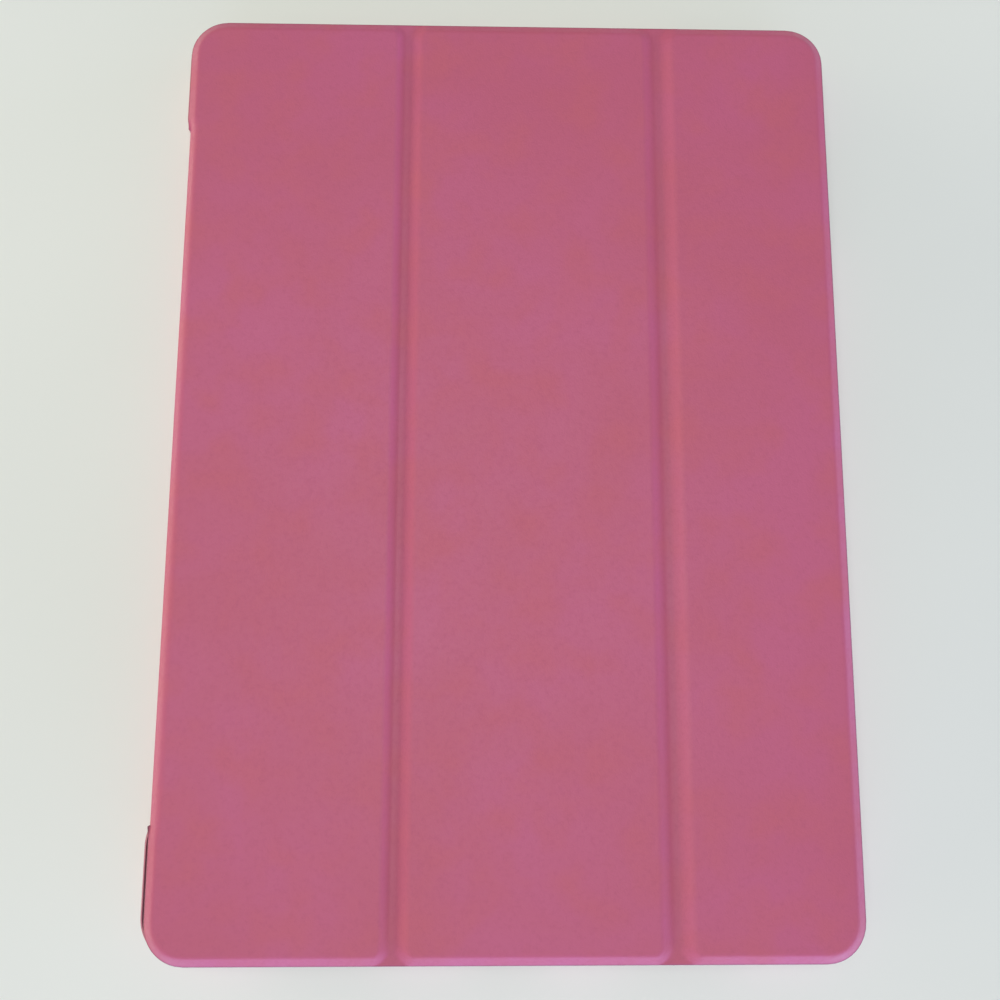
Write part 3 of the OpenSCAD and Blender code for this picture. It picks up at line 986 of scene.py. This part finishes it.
def add_shell():
    stations = wall_stations()
    profiles = [wall_profile(rim, whole, thin) for _, _, rim, whole, thin in stations]
    count = len(profiles[0])
    points = []
    for (place, inward, *_), line in zip(stations, profiles):
        points += [(place[0] + inward[0] * d, place[1] + inward[1] * d, z) for d, z in line]
    faces = []
    for i in range(len(stations)):
        j = (i + 1) % len(stations)
        faces += [(i * count + k, j * count + k, j * count + k + 1, i * count + k + 1)
                  for k in range(count - 1)]
    faces.append(tuple(i * count for i in reversed(range(len(stations)))))
    faces.append(tuple(i * count + count - 1 for i in range(len(stations))))
    shell = mesh_object("shell", points, faces)
    edge_x = spine_x0 + SPINE_SKIN_T + LINING_T + SPINE_PLAY
    outside_x, strip_end, half = shell_low.x - PAST, strip_high.x + RECESS_PLAY, MOUTH_L / 2
    recess = [(outside_x, -half), (strip_end, -half), (strip_end, half), (outside_x, half)]
    camera_x, camera_y = opening_mm("camera_window", 0), opening_mm("camera_window", 1)
    cut(shell, [
        prism("mouth", mouth_outline(), outside_x, edge_x, "x"),
        prism("recess", recess, -1, RECESS_H, "z"),
        flared_hole("camera_hole", camera_x, camera_y, CAMERA_R, CAMERA_FLARE),
    ])
    finish_piece(shell, PLASTIC, ["back_shell"])
    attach(shell, "shell")


# ---------------------------------------------------------------------------
# Camera, floor and light
# ---------------------------------------------------------------------------


EYE = (-4.54, -32.94, 202.18)       # millimetres
LOOK = (0.0147, 0.119, -0.9928)
UPWARD = (-0.0076, 0.9929, 0.1189)
LENS, SENSOR = 27, 36               # millimetres
CLIP_NEAR, CLIP_FAR = 0.01, 20      # metres
FLOOR_HALF = 1.6                    # metres
LIGHT_AIM = (0, 0, 0.01)
# place and size in metres, power in watts, colour
LIGHTS = {
    "overhead": ((-0.1, 0.0, 1.25), (1.4, 1.2), 11.2, (1.0, 0.97, 0.95)),
    "left_wall": ((-2.6, 0.2, 0.33), (4.4, 0.52), 54, (1.0, 0.86, 0.64)),
    "front_window": ((0.3, -2.6, 0.27), (4.1, 0.44), 84, (0.5, 0.53, 1.0)),
    "right_window": ((2.6, -0.4, 0.27), (3.3, 0.44), 43, (0.52, 0.57, 1.0)),
}
ROOM_COLOUR, ROOM_STRENGTH = (0.96, 0.96, 1.0, 1), 0.27


def add_camera():
    """The case lies flat and is seen from just above its lower half."""
    data = bpy.data.cameras.new("camera")
    data.sensor_width = SENSOR
    data.lens = LENS
    data.clip_start, data.clip_end = CLIP_NEAR, CLIP_FAR
    camera = bpy.data.objects.new("camera", data)
    bpy.context.scene.collection.objects.link(camera)
    back = -Vector(LOOK).normalized()
    right = Vector(UPWARD).cross(back).normalized()
    upward = back.cross(right)
    turned = Matrix((right, upward, back)).transposed().to_4x4()
    camera.matrix_world = Matrix.Translation(Vector(EYE) * MM) @ turned
    bpy.context.scene.camera = camera


def add_floor():
    side = FLOOR_HALF / MM
    corners = [(-side, -side, 0), (side, -side, 0), (side, side, 0), (-side, side, 0)]
    floor = mesh_object("floor", corners, [(0, 1, 2, 3)])
    floor.data.materials.append(paper_floor())


def add_light(name, place, size, power, colour):
    data = bpy.data.lights.new(name, "AREA")
    data.shape = "RECTANGLE"
    data.size, data.size_y = size
    data.energy = power
    data.color = colour
    light = bpy.data.objects.new(name, data)
    light.location = place
    light.rotation_euler = (Vector(LIGHT_AIM) - Vector(place)).to_track_quat("-Z", "Y").to_euler()
    bpy.context.scene.collection.objects.link(light)


def add_lights():
    for name, (place, size, power, colour) in LIGHTS.items():
        add_light(name, place, size, power, colour)
    world = bpy.data.worlds.new("studio")
    world.use_nodes = True
    background = world.node_tree.nodes["Background"]
    background.inputs["Color"].default_value = ROOM_COLOUR
    background.inputs["Strength"].default_value = ROOM_STRENGTH
    bpy.context.scene.world = world


def blend_crease(obj):
    """Bakes a piece's placement into its points."""
    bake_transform(obj)


def add_cover():
    skin_1 = cover_piece("skin_1", -half_w, panel_2_seam_u, flat_over_mouth, skin_under, seam_u)
    skin_2 = cover_piece("skin_2", panel_2_seam_u, half_w, flat_over_mouth, skin_under, seam_u)
    lining_1 = cover_piece("lining_1", -half_w, panel_2_seam_u, lining_top, cover_base, bend_u)
    lining_2 = cover_piece("lining_2", panel_2_seam_u, half_w, lining_top, cover_base, bend_u)
    for skin in (skin_1, skin_2):
        edge_wear_and_shade(skin)
    finish_piece(skin_1, LEATHERETTE, ["panel_1_skin", "crease_1_skin"])
    finish_piece(skin_2, LEATHERETTE, ["panel_2_skin", "crease_2_skin", "panel_3_skin"])
    finish_piece(lining_1, MICROFIBRE, ["panel_1_lining", "crease_1_lining"])
    finish_piece(lining_2, MICROFIBRE, ["panel_2_lining", "crease_2_lining", "panel_3_lining"])
    for piece in (skin_1, lining_1):
        blend_crease(piece)
    for piece in (skin_2, lining_2):
        blend_crease(piece)


def add_spine():
    """The spine in two halves, each of skin and lining: the front half runs round the upper bend to the cover, the
    rear half round the lower bend to the strip under the shell.
    """
    front = swept("spine_skin_front", outer_front, inner_front)
    finish_piece(front, LEATHERETTE, ["spine_skin"])
    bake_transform(front)
    front_lining = swept("spine_lining_front", lining_outer_front, lining_inner_front)
    finish_piece(front_lining, MICROFIBRE, ["spine_lining"])
    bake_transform(front_lining)
    rear = swept("spine_skin_rear", outer_rear, inner_rear)
    finish_piece(rear, LEATHERETTE, ["strip_skin"])
    rear_lining = swept("spine_lining_rear", lining_outer_rear, lining_inner_rear)
    finish_piece(rear_lining, MICROFIBRE, ["strip_lining"])
    for piece in (rear, rear_lining):
        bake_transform(piece)


def dress_cad_parts():
    """The CAD parts that aren't redrawn each get the material they are made of."""
    nodes = frame["nodes"]
    for node in nodes.values():
        node.data.materials.clear()
    for material, names in (
            (fibre_board(), ("panel_1_board", "panel_2_board", "panel_3_board", "spine_stiffener")),
            (adhesive_film(), ("strip_tape",)),
            (rolled_steel(), ("stand_plate",)),
            (nickel_plate(), ("closing_magnets", "wake_magnet"))):
        for name in names:
            nodes[name].data.materials.append(material)


add_camera()
add_floor()
add_lights()
bpy.context.scene.view_settings.view_transform = "Standard"
add_cover()
add_spine()
add_shell()
dress_cad_parts()
